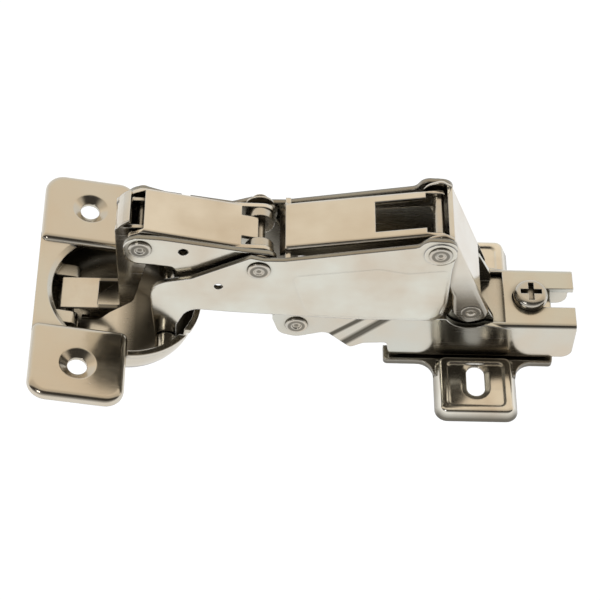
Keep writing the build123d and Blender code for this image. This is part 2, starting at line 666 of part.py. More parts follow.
# Cup link: crank shaped channel with a loose fork on the cup's rear pin
slip_r = CUP_REAR_PIN_R + 0.06
fork_low = CUP_REAR[1] - SLIP_DOWN - slip_r
fork_high = CUP_REAR[1] + SLIP_UP + slip_r
link_web_x = CUP_LINK_TOP[0] - LINK_ROLL_R
link_wall = rounded([
    (LINK_LUG_LEFT_X, LINK_LUG_TOP_Z, 0),
    (link_web_x, LINK_LUG_TOP_Z, 0.6),
    (link_web_x, CUP_LINK_TOP[1] + LINK_EAR_R, 1.0),
    (CUP_LINK_TOP[0] + LINK_EAR_R, CUP_LINK_TOP[1] + LINK_EAR_R, LINK_EAR_R - 0.05),
    (CUP_LINK_TOP[0] + LINK_EAR_R, CUP_LINK_TOP[1] - 3.5, 3.0),
    (-80.0, 15.2, 3.0),
    (-85.6, 10.6, 3.0),
    (-88.4, fork_low - LINK_PRONG_T, 3.0),
    (LINK_PRONG_X, fork_low - LINK_PRONG_T, 0.3),
    (LINK_PRONG_X, fork_low, 0.3),
    (CUP_REAR[0] + SLIP_RIGHT + slip_r, fork_low, 0.8),
    (CUP_REAR[0] + SLIP_RIGHT + slip_r, fork_high, 0.8),
    (LINK_LUG_LEFT_X, fork_high, 0),
])
cup_arm = both(link_wall, LINK_HALF_Y - LINK_SHEET, LINK_HALF_Y)
roll_in = LINK_ROLL_R - LINK_SHEET


def roll_point(radius, degrees):
    turn = math.radians(degrees)
    return (
        CUP_LINK_TOP[0] + radius * math.cos(turn),
        CUP_LINK_TOP[1] + radius * math.sin(turn),
    )


roll_mid = (180 + LINK_ROLL_END) / 2
web_face = make_face([
    Line((link_web_x, LINK_LUG_TOP_Z + 1), roll_point(LINK_ROLL_R, 180)),
    ThreePointArc(
        roll_point(LINK_ROLL_R, 180),
        roll_point(LINK_ROLL_R, roll_mid),
        roll_point(LINK_ROLL_R, LINK_ROLL_END),
    ),
    Line(roll_point(LINK_ROLL_R, LINK_ROLL_END), roll_point(roll_in, LINK_ROLL_END)),
    ThreePointArc(
        roll_point(roll_in, LINK_ROLL_END),
        roll_point(roll_in, roll_mid),
        roll_point(roll_in, 180),
    ),
    Line(roll_point(roll_in, 180), (link_web_x + LINK_SHEET, LINK_LUG_TOP_Z + 1)),
    Line((link_web_x + LINK_SHEET, LINK_LUG_TOP_Z + 1), (link_web_x, LINK_LUG_TOP_Z + 1)),
])
cup_arm += slab(web_face, -LINK_HALF_Y, LINK_HALF_Y)
cup_arm += Pos(
    (LINK_LUG_LEFT_X + LINK_LUG_RIGHT_X) / 2, 0, (LINK_LUG_TOP_Z + fork_high) / 2
) * Box(LINK_LUG_RIGHT_X - LINK_LUG_LEFT_X, 2 * LINK_HALF_Y, LINK_LUG_TOP_Z - fork_high)
cup_arm -= rod(CUP_LINK_TOP, PIN_R + RUN_CLEAR, -20, 20)
cup_link = cup_arm

# Cup: bowl, rim, two raised wings and bosses for its pins
bowl_x = CUP_SCREW_X + CUP_OFFSET
bowl_low = DOOR_FACE_Z - BOWL_DEPTH
bowl_in_r = BOWL_R - BOWL_SHEET
in_bottom_r = BOWL_BOTTOM_R - BOWL_SHEET


def bowl_solid(radius, low, corner, high):
    face = make_face([
        Line((0, low), (radius - corner, low)),
        ThreePointArc(
            (radius - corner, low),
            (radius - corner + corner * math.sin(math.pi / 4),
             low + corner - corner * math.cos(math.pi / 4)),
            (radius, low + corner),
        ),
        Line((radius, low + corner), (radius, high)),
        Line((radius, high), (0, high)),
        Line((0, high), (0, low)),
    ])
    return Pos(bowl_x, 0, 0) * revolve(Plane.XZ * face, Axis.Z)


def door_point(point):
    """Point given in the tilted cup's pose, moved back square to the door."""
    turn = math.radians(CUP_TILT)
    x = point[0] - CUP_FRONT[0]
    z = point[1] - CUP_FRONT[1]
    return (
        CUP_FRONT[0] + x * math.cos(turn) - z * math.sin(turn),
        CUP_FRONT[1] + x * math.sin(turn) + z * math.cos(turn),
    )


def round_block(radius, low, high):
    return Pos(bowl_x, 0, (low + high) / 2) * Cylinder(radius, high - low)


outside = bowl_solid(BOWL_R, bowl_low, BOWL_BOTTOM_R, RIM_TOP_Z)
outside += round_block(RIM_LIP_R, DOOR_FACE_Z, RIM_TOP_Z)
inside = bowl_solid(bowl_in_r, bowl_low + BOWL_SHEET, in_bottom_r, FLANGE_TOP_Z + 5)
right_x = CUP_SCREW_X + FLANGE_HALF_X
left_block = Pos(right_x - 20, 0, STRIP_TOP_Z + 10) * Box(40, 60, 20)
outside -= left_block
rear_point = door_point(CUP_REAR)
bosses = both(disc(CUP_FRONT, BOSS_R), side_out + 0.3, BOWL_R)
rear_boss = disc(rear_point, REAR_BOSS_R)
rear_boss += Pos(rear_point[0] - 2, rear_point[1]) * Rectangle(4, 2 * REAR_BOSS_R)
bosses += both(rear_boss, LINK_HALF_Y + 0.6, REAR_BOSS_OUT_Y)
bosses &= outside
strip = Pos(CUP_SCREW_X, 0, DOOR_FACE_Z) * extrude(
    RectangleRounded(2 * FLANGE_HALF_X, 2 * WING_IN_Y + 6, 0.8), STRIP_TOP_Z - DOOR_FACE_Z
)
mouth_low = DOOR_FACE_Z - 0.1
mouth = Pos(bowl_x, 0, (mouth_low + STRIP_TOP_Z) / 2) * Cone(
    bowl_in_r, bowl_in_r + MOUTH_FLARE, STRIP_TOP_Z - mouth_low
)
mouth &= Pos(bowl_x - 20, 0, STRIP_TOP_Z) * Box(40, 2 * WING_IN_Y, 10)
bowl = outside + strip - inside - mouth + bosses

wing_length = FLANGE_HALF_Y - WING_IN_Y
wing_mid = (FLANGE_HALF_Y + WING_IN_Y) / 2


def cup_wing(side):
    height = FLANGE_TOP_Z - DOOR_FACE_Z
    block = Pos(CUP_SCREW_X, side * wing_mid, DOOR_FACE_Z) * extrude(
        RectangleRounded(2 * FLANGE_HALF_X, wing_length, FLANGE_CORNER), height
    )
    square = Pos(CUP_SCREW_X, side * (WING_IN_Y + 4), DOOR_FACE_Z) * extrude(
        RectangleRounded(2 * FLANGE_HALF_X, 8, FLANGE_INNER_CORNER), height
    )
    block += square
    block = fillet(block.faces().sort_by(Axis.Z)[-1].edges(), FLANGE_EDGE_R)
    core = Pos(CUP_SCREW_X, side * wing_mid, DOOR_FACE_Z) * extrude(
        RectangleRounded(
            2 * (FLANGE_HALF_X - FLANGE_SHEET),
            wing_length - 2 * FLANGE_SHEET,
            FLANGE_CORNER - FLANGE_SHEET,
        ),
        height - FLANGE_SHEET,
    )
    block -= core
    hole_y = side * CUP_SCREW_SPACING / 2
    block += Pos(CUP_SCREW_X, hole_y, DOOR_FACE_Z) * extrude(
        Circle(CUP_SINK_R + 0.3), height - FLANGE_SHEET
    )
    block -= Pos(CUP_SCREW_X, hole_y, FLANGE_TOP_Z) * Cylinder(CUP_HOLE_R, 12)
    sink = Pos(CUP_SCREW_X, hole_y, FLANGE_TOP_Z - CUP_SINK_DEPTH / 2) * Cone(
        CUP_HOLE_R, CUP_SINK_R, CUP_SINK_DEPTH
    )
    return block - sink


cup = bowl + cup_wing(1) + cup_wing(-1)
relief = Pos(CUP_FRONT[0] + 12.5, RELIEF_LOW_Z + 5) * Rectangle(20, 10)
cup -= both(relief, SIDE_IN_Y - RELIEF_GAP, side_out + 0.3)
front_chord = math.sqrt(bowl_in_r**2 - (CUP_FRONT[0] - bowl_x)**2)
front_half = front_chord - 0.6
rear_half = REAR_BOSS_OUT_Y - 0.4
cup -= rod(CUP_FRONT, CUP_PIN_R, -front_half, front_half)
cup -= rod(rear_point, CUP_REAR_PIN_R, -rear_half, rear_half)
tilt = (
    Pos(CUP_FRONT[0], 0, CUP_FRONT[1])
    * Rot(0, CUP_TILT, 0)
    * Pos(-CUP_FRONT[0], 0, -CUP_FRONT[1])
)
cup = tilt * cup
cup_front_pin = rod(CUP_FRONT, CUP_PIN_R, -front_half, front_half)
cup_rear_pin = rod(CUP_REAR, CUP_REAR_PIN_R, -rear_half, rear_half)

PARTS = {
    "mounting_plate": mounting_plate,
    "hinge_arm": hinge_arm,
    "pivot_bracket": pivot_bracket,
    "arm_pivot_pin": arm_pivot_pin,
    "fixing_screw": fixing_screw,
    "crank_channel": crank_channel,
    "crank_plate_near": crank_plate_near,
    "crank_plate_far": crank_plate_far,
    "cross_washer_near": cross_washer_near,
    "cross_washer_far": cross_washer_far,
    "cross_collar_near": cross_collar_near,
    "cross_collar_far": cross_collar_far,
    "cup_link_pin": cup_link_pin,
    "cross_pin": cross_pin,
    "side_plate_near": side_plate_near,
    "side_plate_far": side_plate_far,
    "side_cover": side_cover,
    "rear_pin": rear_pin,
    "rear_link": rear_link,
    "rear_foot_pin": rear_foot_pin,
    "cup_link": cup_link,
    "cup": cup,
    "cup_front_pin": cup_front_pin,
    "cup_rear_pin": cup_rear_pin,
}
for name, shape in PARTS.items():
    export_step(shape, f"parts/{name}.step")
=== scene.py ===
import math

import bpy
from mathutils import Matrix, Vector

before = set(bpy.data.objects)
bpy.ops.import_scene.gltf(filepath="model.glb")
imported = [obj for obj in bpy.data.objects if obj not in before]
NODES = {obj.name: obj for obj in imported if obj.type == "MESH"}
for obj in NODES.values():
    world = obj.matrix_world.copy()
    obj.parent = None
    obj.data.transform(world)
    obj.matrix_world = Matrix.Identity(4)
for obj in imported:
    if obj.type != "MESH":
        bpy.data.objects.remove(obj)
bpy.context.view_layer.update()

bl_info = {
    "name": "Cabinet Hinge",
    "version": (1, 0, 0),
    "blender": (4, 5, 0),
    "location": "View3D > Sidebar > Hinge",
    "description": "Finishes a wide-angle concealed cabinet hinge and sets up its studio",
    "category": "Object",
}

MM = 0.001

# Camera fitted to the photograph: angles in degrees, lengths in millimetres, clipping in metres
CAMERA_TURN = -2.31
CAMERA_RISE = 53.17
CAMERA_ROLL = 3.08
CAMERA_DISTANCE = 478.57
CAMERA_SIDE = 40.95
CAMERA_UP = -7.53
CAMERA_LENS = 120.0
CAMERA_SENSOR = 36.0
CAMERA_CLIP_START = 0.01
CAMERA_CLIP_END = 50.0

# Nodes that share a finish
CRANK_NODES = ("crank_channel",)
COVER_NODES = ("side_cover",)
LEVER_PLATE_NODES = ("crank_plate_near", "crank_plate_far", "side_plate_near", "side_plate_far")
REAR_LINK_NODES = ("rear_link",)
CUP_LINK_NODES = ("cup_link",)
ARM_NODES = ("hinge_arm", "pivot_bracket")
PLATE_NODES = ("mounting_plate",)
CUP_NODES = ("cup",)
PIN_NODES = (
    "arm_pivot_pin",
    "cup_link_pin",
    "cross_pin",
    "rear_pin",
    "rear_foot_pin",
    "cup_front_pin",
    "cup_rear_pin",
    "cross_washer_near",
    "cross_washer_far",
    "cross_collar_near",
    "cross_collar_far",
)
SCREW_NODES = ("fixing_screw",)

# Noise of the plated surface: scales per metre, how far it is drawn out, and where its masks come on
CLOUD_DETAIL = 3.0
CLOUD_LIMITS = (0.35, 0.70)
GRAIN_SCALE = 900.0
GRAIN_DETAIL = 2.0
GRAIN_STRETCH = (0.06, 1.0, 1.0)
SCRATCH_SCALE = 2600.0
SCRATCH_DETAIL = 1.0
SCRATCH_TURN = (0.3, 0.5, 0.9)
SCRATCH_STRETCH = (0.03, 1.0, 1.0)
SCRATCH_LIMITS = (0.66, 0.74)

# What the grain, clouds, scratches and the painted-shade mask add to the roughness
ROUGHNESS_SPREAD = 0.08
CLOUD_ROUGHNESS = 0.03
SCRATCH_ROUGHNESS = 0.10
CORNER_ROUGHNESS = 0.15

# What the clouds, grain and scratches give to the relief, and its depth in millimetres
CLOUD_RELIEF = 0.8
GRAIN_RELIEF = 0.06
SCRATCH_RELIEF = 0.03
RELIEF_DEPTH = 0.2

# Masks from the soft edge, and for painted shade from nearness to other walls in hollows and seams
MASK_SAMPLES = 8
RUBBED_LIMITS = (0.97, 0.80)
HOLLOW_LIMITS = (0.75, 0.15)
SEAM_LIMITS = (0.92, 0.40)
SEAM_SHARE = 0.9

# Shades painted by place: stretches run in millimetres from where a shade starts to where it is full,
# facings say how squarely a face has to look along an axis, and shares say how strong the shade is

# Painted shade along the creases pressed across the arm's walls: a point on each (x, z), its run and
# its half width
ARM_CREASES = (
    ((-38.9, 4.0), (13.4, 12.4), 0.8),
    ((-33.3, 4.0), (12.1, 12.4), 1.3),
)
CREASE_WALL_Y = 6.0
CREASE_CORE = 0.4
CREASE_SHARE = 0.97

# Painted shade on the wall under the arm's saddle, standing in for the dark reflection of its dish
SADDLE_LEFT_X = (-10.0, -8.0)
SADDLE_RIGHT_X = (7.0, 5.0)
SADDLE_Z = (16.0, 14.5)
SADDLE_SHARE = 0.68

# Inside of the bowl: a point on its axis, its tilt in degrees, and painted shade on its far and right
# parts
BOWL_POINT = (-82.67, 0.0, 11.03)
BOWL_TILT = 10.5
BOWL_INSIDE_R = (17.2, 16.9)
BOWL_BELOW = (0.0, -0.8)
BOWL_FAR_Y = (3.0, 8.0)
BOWL_RIGHT_X = (-84.5, -80.0)
BOWL_SHARE = 0.92

# Rivets by their places (x, z), and the spot and ring of painted shade on their staked heads
RIVETS = ((-42.2, 12.0), (-51.2, 35.1), (-77.5, 39.5), (-11.4, 42.2), (-2.4, 19.1))
RIVET_SPOT_R = (0.65, 0.45)
RIVET_RING_IN_R = (1.15, 1.35)
RIVET_RING_OUT_R = (2.1, 1.9)
RIVET_SHARE = 0.75

# Painted shade on the inner faces of the crank's channel, where the distance outwards is below nought
CHANNEL_OUTWARD = (-1.0, -3.0)
CHANNEL_SHARE = 0.88

# Painted shade on the front lip of the side lever's cover
LIP_X = (-45.2, -46.0)
LIP_SHARE = 0.8

# Painted shade on the sheared edges of the levers' plates
CUT_EDGE_FACING = (0.6, 0.3)
CUT_EDGE_SHARE = 0.62

# Painted shade in the fold between the cup link's lug and its web
FOLD_X = (-88.6, -88.0)
FOLD_Z = (14.5, 13.0)
FOLD_SHARE = 0.85

# Painted shade down the rear link's walls towards its foot
ANKLE_FACING = (0.4, 0.9)
ANKLE_Z = (34.0, 21.0)
ANKLE_SHARE = 0.6

# Painted shade down the steep sides of the mounting plate
FOOT_FACING = (0.6, 0.3)
FOOT_Z = (3.0, 0.8)
FOOT_SHARE = 0.92

# Sky of the studio tent, by the share of half a turn from the back over the top to the front
TENT_STOPS = (
    (0.00, (0.90, 0.90, 0.90)),
    (0.20, (0.95, 0.90, 0.82)),
    (0.30, (1.00, 0.88, 0.72)),
    (0.40, (0.74, 0.65, 0.53)),
    (0.52, (0.66, 0.60, 0.51)),
    (0.60, (0.05, 0.045, 0.04)),
    (0.78, (0.06, 0.055, 0.05)),
    (0.90, (0.45, 0.45, 0.45)),
    (1.00, (0.90, 0.90, 0.90)),
)

# Floor's own colour, and the front soft box in metres
FLOOR_PAPER = (0.30, 0.33, 0.38, 1.0)
KEY_PLACE = (-0.35, -0.45, 0.45)
KEY_AIM = (-0.04, 0.0, 0.02)
KEY_SIZE = 0.16

# Sockets of a Mix node that mixes colours
MIX_FIRST = 6
MIX_SECOND = 7
MIX_RESULT = 2


def colour_property(name, description, default):
    """A colour that a user may change."""
    return bpy.props.FloatVectorProperty(
        name=name,
        description=description,
        subtype="COLOR",
        size=3,
        min=0.0,
        max=1.0,
        default=default,
    )


def factor_property(name, description, default):
    """A share from none to all that a user may change."""
    return bpy.props.FloatProperty(
        name=name, description=description, subtype="FACTOR", min=0.0, max=1.0, default=default
    )


def length_property(name, description, default):
    """A length in metres that a user may change."""
    return bpy.props.FloatProperty(
        name=name, description=description, subtype="DISTANCE", unit="LENGTH", default=default
    )


class HingeFinish(bpy.types.PropertyGroup):
    """Colours and surface values of the plated steel."""

    crank: colour_property("Crank", "Nickel of the crank's channel", (0.76, 0.715, 0.625))
    cover: colour_property("Cover", "Nickel of the side lever's cover", (0.70, 0.66, 0.575))
    lever: colour_property("Lever plates", "Nickel of the levers' flat plates", (0.67, 0.665, 0.59))
    link: colour_property("Links", "Nickel of the rear link and the cup link", (0.66, 0.63, 0.56))
    arm: colour_property("Arm", "Nickel of the arm and its bracket", (0.585, 0.58, 0.52))
    plate: colour_property("Plate", "Nickel of the mounting plate", (0.80, 0.765, 0.67))
    cup: colour_property("Cup", "Nickel of the door cup", (0.60, 0.575, 0.505))
    pin: colour_property("Pins", "Nickel of the rivets, pins and screw", (0.52, 0.495, 0.44))
    stain: colour_property("Stain", "Warmer tone in the plating's faint clouds", (0.60, 0.53, 0.43))
    # Recess colour: the painted shade that plated pieces turn towards in hollows, in seams and under
    # the shade masks
    painted_shade_colour: colour_property("Recess", "Dull tone of thin plating in corners", (0.10, 0.09, 0.07))
    rub: colour_property("Rubbed edge", "Paler tone on polished edges", (0.72, 0.70, 0.65))
    sheet_gloss: factor_property("Sheet roughness", "Roughness of the pressed sheet", 0.14)
    pin_gloss: factor_property("Pin roughness", "Roughness of the rivets, pins and screw", 0.20)
    pin_edge: length_property("Pin edge", "Soft radius of the rivets' and screw's edges", 0.00025)
    bend_edge: length_property("Bend edge", "Soft radius along bent edges", 0.00040)
    drawn_edge: length_property("Drawn edge", "Soft radius of the pressed plates' edges", 0.00065)
    # The four reaches below set how near a wall must be for painted shade in hollows, on the arm, on
    # the levers and along seams
    hollow_shade_reach: length_property("Recess reach", "How near a wall turns a hollow dull", 0.009)
    arm_reach: length_property("Arm reach", "How near a wall turns the arm dull", 0.014)
    lever_reach: length_property("Lever reach", "How near a wall turns the levers dull", 0.022)
    seam_shade_reach: length_property("Seam reach", "How near a piece turns a seam dark", 0.0016)


class HingeStage(bpy.types.PropertyGroup):
    """Sizes and light levels of the studio."""

    floor_drop: length_property(
        "Floor drop", "How far the floor lies under the mounting face, clear of the cup's swing", 0.046
    )
    floor_size: length_property("Floor size", "Side of the square floor", 6.0)
    floor_glow: factor_property("Floor white", "How white the floor shows", 0.89)
    key_power: bpy.props.FloatProperty(
        name="Key light",
        description="Power of the soft light at the front left",
        subtype="POWER",
        unit="POWER",
        default=0.35,
    )


def settings():
    """The finish and stage values of this scene."""
    scene = bpy.context.scene
    return scene.hinge_finish, scene.hinge_stage


def link(tree, source, target):
    """Joins an output socket to an input socket."""
    tree.links.new(source, target)


def math_node(tree, operation, *values):
    """A Math node with each input a socket or a number."""
    node = tree.nodes.new("ShaderNodeMath")
    node.operation = operation
    for slot, value in zip(node.inputs, values):
        if isinstance(value, (int, float)):
            slot.default_value = value
        else:
            link(tree, value, slot)
    return node.outputs[0]


def vector_node(tree, operation, first, second=None):
    """A Vector Math node of a socket and a fixed vector; gives its outputs."""
    node = tree.nodes.new("ShaderNodeVectorMath")
    node.operation = operation
    link(tree, first, node.inputs[0])
    if second:
        node.inputs[1].default_value = second
    return node.outputs


def split_node(tree, vector):
    """The X, Y and Z sockets of a vector."""
    node = tree.nodes.new("ShaderNodeSeparateXYZ")
    link(tree, vector, node.inputs["Vector"])
    return node.outputs


def noise_node(tree, vector, scale, detail):
    """A noise texture; its scale is a socket or a number."""
    node = tree.nodes.new("ShaderNodeTexNoise")
    node.inputs["Detail"].default_value = detail
    link(tree, vector, node.inputs["Vector"])
    if isinstance(scale, (int, float)):
        node.inputs["Scale"].default_value = scale
    else:
        link(tree, scale, node.inputs["Scale"])
    return node.outputs["Fac"]


def stretched(tree, vector, scale, turn=(0.0, 0.0, 0.0)):
    """Coordinates turned and stretched, for grain that runs one way."""
    node = tree.nodes.new("ShaderNodeMapping")
    node.inputs["Rotation"].default_value = turn
    node.inputs["Scale"].default_value = scale
    link(tree, vector, node.inputs["Vector"])
    return node.outputs["Vector"]


def mask_node(tree, value, limits):
    """Mask that is none at the first limit of a value and all at the second."""
    node = tree.nodes.new("ShaderNodeMapRange")
    node.inputs["From Min"].default_value = limits[0]
    node.inputs["From Max"].default_value = limits[1]
    link(tree, value, node.inputs["Value"])
    return node.outputs["Result"]


def stretch_mask(tree, value, stretch):
    """Mask of a length over a stretch in millimetres."""
    return mask_node(tree, value, [limit * MM for limit in stretch])


def mix_colour(tree, factor, first, second):
    """Mixes two colour sockets by a factor socket."""
    node = tree.nodes.new("ShaderNodeMix")
    node.data_type = "RGBA"
    link(tree, factor, node.inputs["Factor"])
    link(tree, first, node.inputs[MIX_FIRST])
    link(tree, second, node.inputs[MIX_SECOND])
    return node.outputs[MIX_RESULT]


def product(tree, *values):
    """Sockets and numbers multiplied together."""
    total = values[0]
    for value in values[1:]:
        total = math_node(tree, "MULTIPLY", total, value)
    return total


def plated_group():
    """Node group of plated sheet: clouds, rolling grain, fine scratches, painted shade with rougher
    plating in corners and other shaded places, bright edges.
    """
    name = "Plated surface"
    if name in bpy.data.node_groups:
        return bpy.data.node_groups[name]
    group = bpy.data.node_groups.new(name, "ShaderNodeTree")
    face = group.interface
    face.new_socket("Vector", in_out="INPUT", socket_type="NodeSocketVector")
    for label in ("Cloud Scale", "Grain Scale", "Roughness", "Roughness Spread", "Edge", "Corner"):
        face.new_socket(label, in_out="INPUT", socket_type="NodeSocketFloat")
    for label in ("Plate Colour", "Stain Colour", "Recess Colour", "Edge Colour"):
        face.new_socket(label, in_out="INPUT", socket_type="NodeSocketColor")
    face.new_socket("Colour", in_out="OUTPUT", socket_type="NodeSocketColor")
    face.new_socket("Roughness", in_out="OUTPUT", socket_type="NodeSocketFloat")
    face.new_socket("Height", in_out="OUTPUT", socket_type="NodeSocketFloat")
    start = group.nodes.new("NodeGroupInput").outputs
    end = group.nodes.new("NodeGroupOutput").inputs

    cloud = noise_node(group, start["Vector"], start["Cloud Scale"], CLOUD_DETAIL)
    cloudy = mask_node(group, cloud, CLOUD_LIMITS)
    rolled = stretched(group, start["Vector"], GRAIN_STRETCH)
    grain = noise_node(group, rolled, start["Grain Scale"], GRAIN_DETAIL)
    slanted = stretched(group, start["Vector"], SCRATCH_STRETCH, SCRATCH_TURN)
    scratch = noise_node(group, slanted, SCRATCH_SCALE, SCRATCH_DETAIL)
    scratch = mask_node(group, scratch, SCRATCH_LIMITS)

    tone = mix_colour(group, cloudy, start["Plate Colour"], start["Stain Colour"])
    tone = mix_colour(group, start["Edge"], tone, start["Edge Colour"])
    # Painted shade: the tone turns towards the dark shade colour where the shade mask is on
    tone = mix_colour(group, start["Corner"], tone, start["Recess Colour"])
    link(group, tone, end["Colour"])

    spread = product(group, math_node(group, "SUBTRACT", grain, 0.5), start["Roughness Spread"])
    rough = math_node(group, "ADD", spread, start["Roughness"])
    rougher = (
        (cloudy, CLOUD_ROUGHNESS),
        (scratch, SCRATCH_ROUGHNESS),
        (start["Corner"], CORNER_ROUGHNESS),
    )
    for mask, share in rougher:
        rough = math_node(group, "ADD", rough, product(group, mask, share))
    link(group, rough, end["Roughness"])

    height = product(group, cloud, CLOUD_RELIEF)
    height = math_node(group, "ADD", height, product(group, grain, GRAIN_RELIEF))
    height = math_node(group, "SUBTRACT", height, product(group, scratch, SCRATCH_RELIEF))
    link(group, height, end["Height"])
    return group


def covered(tree, reach, limits):
    """Mask of what lies close to other walls within a reach."""
    node = tree.nodes.new("ShaderNodeAmbientOcclusion")
    node.samples = MASK_SAMPLES
    node.inputs["Distance"].default_value = reach
    return mask_node(tree, node.outputs["AO"], limits)


def axis_mask(tree, place, axis, stretch):
    """Comes on along one axis over a stretch in millimetres."""
    return stretch_mask(tree, split_node(tree, place)[axis], stretch)


def facing_along(tree, axis):
    """How squarely a face looks along one axis, from none to all."""
    plain = tree.nodes.new("ShaderNodeNewGeometry")
    return math_node(tree, "ABSOLUTE", split_node(tree, plain.outputs["Normal"])[axis])


def crease_shade(tree, place):
    """Mask of painted shade along the pressed creases of the arm's walls, where the bends look dark."""
    spot = split_node(tree, place)
    creased = None
    for (x, z), (run_x, run_z), half in ARM_CREASES:
        run = math.hypot(run_x, run_z)
        across = product(tree, spot["X"], -run_z / run)
        along = product(tree, spot["Z"], run_x / run)
        start = (z * run_x - x * run_z) / run * MM
        offset = math_node(tree, "SUBTRACT", math_node(tree, "ADD", across, along), start)
        offset = math_node(tree, "ABSOLUTE", offset)
        band = stretch_mask(tree, offset, (half, CREASE_CORE * half))
        creased = band if creased is None else math_node(tree, "MAXIMUM", creased, band)
    side = math_node(tree, "ABSOLUTE", spot["Y"])
    wall = math_node(tree, "GREATER_THAN", side, CREASE_WALL_Y * MM)
    return product(tree, creased, wall, CREASE_SHARE)


def arm_shade(tree, place):
    """Mask of painted shade along the arm's pressed creases and on the dished wall under its saddle."""
    left = axis_mask(tree, place, "X", SADDLE_LEFT_X)
    right = axis_mask(tree, place, "X", SADDLE_RIGHT_X)
    low = axis_mask(tree, place, "Z", SADDLE_Z)
    dish = product(tree, left, right, low, facing_along(tree, "Y"), SADDLE_SHARE)
    return math_node(tree, "MAXIMUM", dish, crease_shade(tree, place))


def channel_shade(tree, place):
    """Mask of painted shade on the inner faces of the crank's two walls."""
    plain = tree.nodes.new("ShaderNodeNewGeometry")
    normal = split_node(tree, plain.outputs["Normal"])
    outward = product(tree, normal["Y"], split_node(tree, place)["Y"])
    return product(tree, stretch_mask(tree, outward, CHANNEL_OUTWARD), CHANNEL_SHARE)


def bowl_shade(tree, place):
    """Mask of painted shade on the far half of the bowl's inside and under the levers."""
    tilt = math.radians(BOWL_TILT)
    up = (math.sin(tilt), 0.0, math.cos(tilt))
    centre = [value * MM for value in BOWL_POINT]
    offset = vector_node(tree, "SUBTRACT", place, centre)["Vector"]
    depth = vector_node(tree, "DOT_PRODUCT", offset, up)["Value"]
    across = vector_node(tree, "CROSS_PRODUCT", offset, up)["Vector"]
    radius = vector_node(tree, "LENGTH", across)["Value"]
    inside = stretch_mask(tree, radius, BOWL_INSIDE_R)
    below = stretch_mask(tree, depth, BOWL_BELOW)
    far = axis_mask(tree, place, "Y", BOWL_FAR_Y)
    right = axis_mask(tree, place, "X", BOWL_RIGHT_X)
    dark = math_node(tree, "MAXIMUM", far, right)
    return product(tree, dark, inside, below, BOWL_SHARE)


def rivet_shade(tree, place):
    """Mask of the painted shade spots and rings on the rivets' staked heads."""
    spot = split_node(tree, place)
    nearest = None
    for x, z in RIVETS:
        aside = math_node(tree, "SUBTRACT", spot["X"], x * MM)
        above = math_node(tree, "SUBTRACT", spot["Z"], z * MM)
        square = math_node(tree, "ADD", product(tree, aside, aside), product(tree, above, above))
        away = math_node(tree, "SQRT", square)
        nearest = away if nearest is None else math_node(tree, "MINIMUM", nearest, away)
    middle = stretch_mask(tree, nearest, RIVET_SPOT_R)
    ring_in = stretch_mask(tree, nearest, RIVET_RING_IN_R)
    ring_out = stretch_mask(tree, nearest, RIVET_RING_OUT_R)
    dull = math_node(tree, "MAXIMUM", middle, product(tree, ring_in, ring_out))
    return product(tree, dull, facing_along(tree, "Y"), RIVET_SHARE)


def foot_shade(tree, place):
    """Mask of painted shade down the plate's steep sides towards what it is screwed to."""
    low = axis_mask(tree, place, "Z", FOOT_Z)
    steep = mask_node(tree, facing_along(tree, "Z"), FOOT_FACING)
    return product(tree, low, steep, FOOT_SHARE)


def lip_shade(tree, place):
    """Mask of painted shade on the cover's bent front lip."""
    return product(tree, axis_mask(tree, place, "X", LIP_X), LIP_SHARE)


def cut_edge_shade(tree, _place):
    """Mask of painted shade on the sheared edges of flat plates."""
    edge = mask_node(tree, facing_along(tree, "Y"), CUT_EDGE_FACING)
    return product(tree, edge, CUT_EDGE_SHARE)


def fold_shade(tree, place):
    """Mask of painted shade in the fold between the cup link's lug and its web."""
    right = axis_mask(tree, place, "X", FOLD_X)
    low = axis_mask(tree, place, "Z", FOLD_Z)
    return product(tree, right, low, FOLD_SHARE)


def ankle_shade(tree, place):
    """Mask of painted shade down the rear link's walls towards its foot."""
    wall = mask_node(tree, facing_along(tree, "Y"), ANKLE_FACING)
    low = axis_mask(tree, place, "Z", ANKLE_Z)
    return product(tree, wall, low, ANKLE_SHARE)


def rubbed_edge(tree, soft_normal):
    """Mask along edges, where the softened normal leaves the plain one."""
    plain = tree.nodes.new("ShaderNodeNewGeometry")
    same = tree.nodes.new("ShaderNodeVectorMath")
    same.operation = "DOT_PRODUCT"
    link(tree, soft_normal, same.inputs[0])
    link(tree, plain.outputs["Normal"], same.inputs[1])
    return mask_node(tree, same.outputs["Value"], RUBBED_LIMITS)


